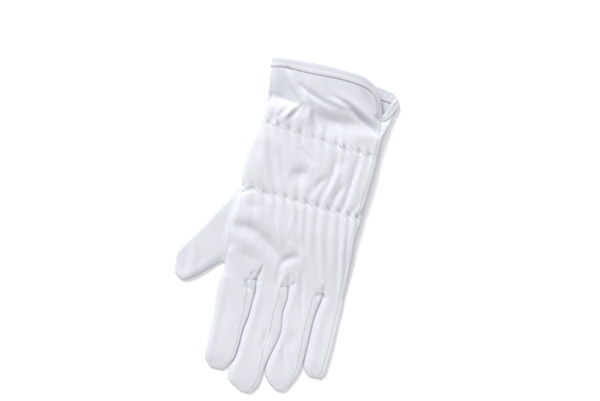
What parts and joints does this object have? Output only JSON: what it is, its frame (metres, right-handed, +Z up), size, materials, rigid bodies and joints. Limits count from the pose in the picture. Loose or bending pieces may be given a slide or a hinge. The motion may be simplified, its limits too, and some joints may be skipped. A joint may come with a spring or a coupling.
{
  "type": "microfibre cleaning glove",
  "caption": "Left-hand cloth cleaning glove with finger gussets, sewn-in thumb, two elastic rows and a long hemmed cuff, lying palm down.",
  "frame": {"origin": "middle of the glove's length and width, on the plane that it lies on", "axes": "+X across the hand from the thumb to the little finger, +Y from the fingers to the mouth of the cuff, +Z up out of the back of the hand"},
  "size_m": [0.1472, 0.2692, 0.0149],
  "materials": {
    "cloth": "fine microfibre knit, soft matt",
    "hem": "doubled microfibre knit with one stitch row",
    "elastic": "narrow ribbed elastic tape"
  },
  "bodies": {
    "root": {"back_panel": "cloth", "palm_panel": "cloth", "fourchette_index_middle": "cloth", "fourchette_middle_ring": "cloth", "fourchette_ring_little": "cloth", "thumb": "cloth", "cuff_hem": "hem", "elastic_wrist": "elastic", "elastic_cuff": "elastic"}
  },
  "joints": []
}
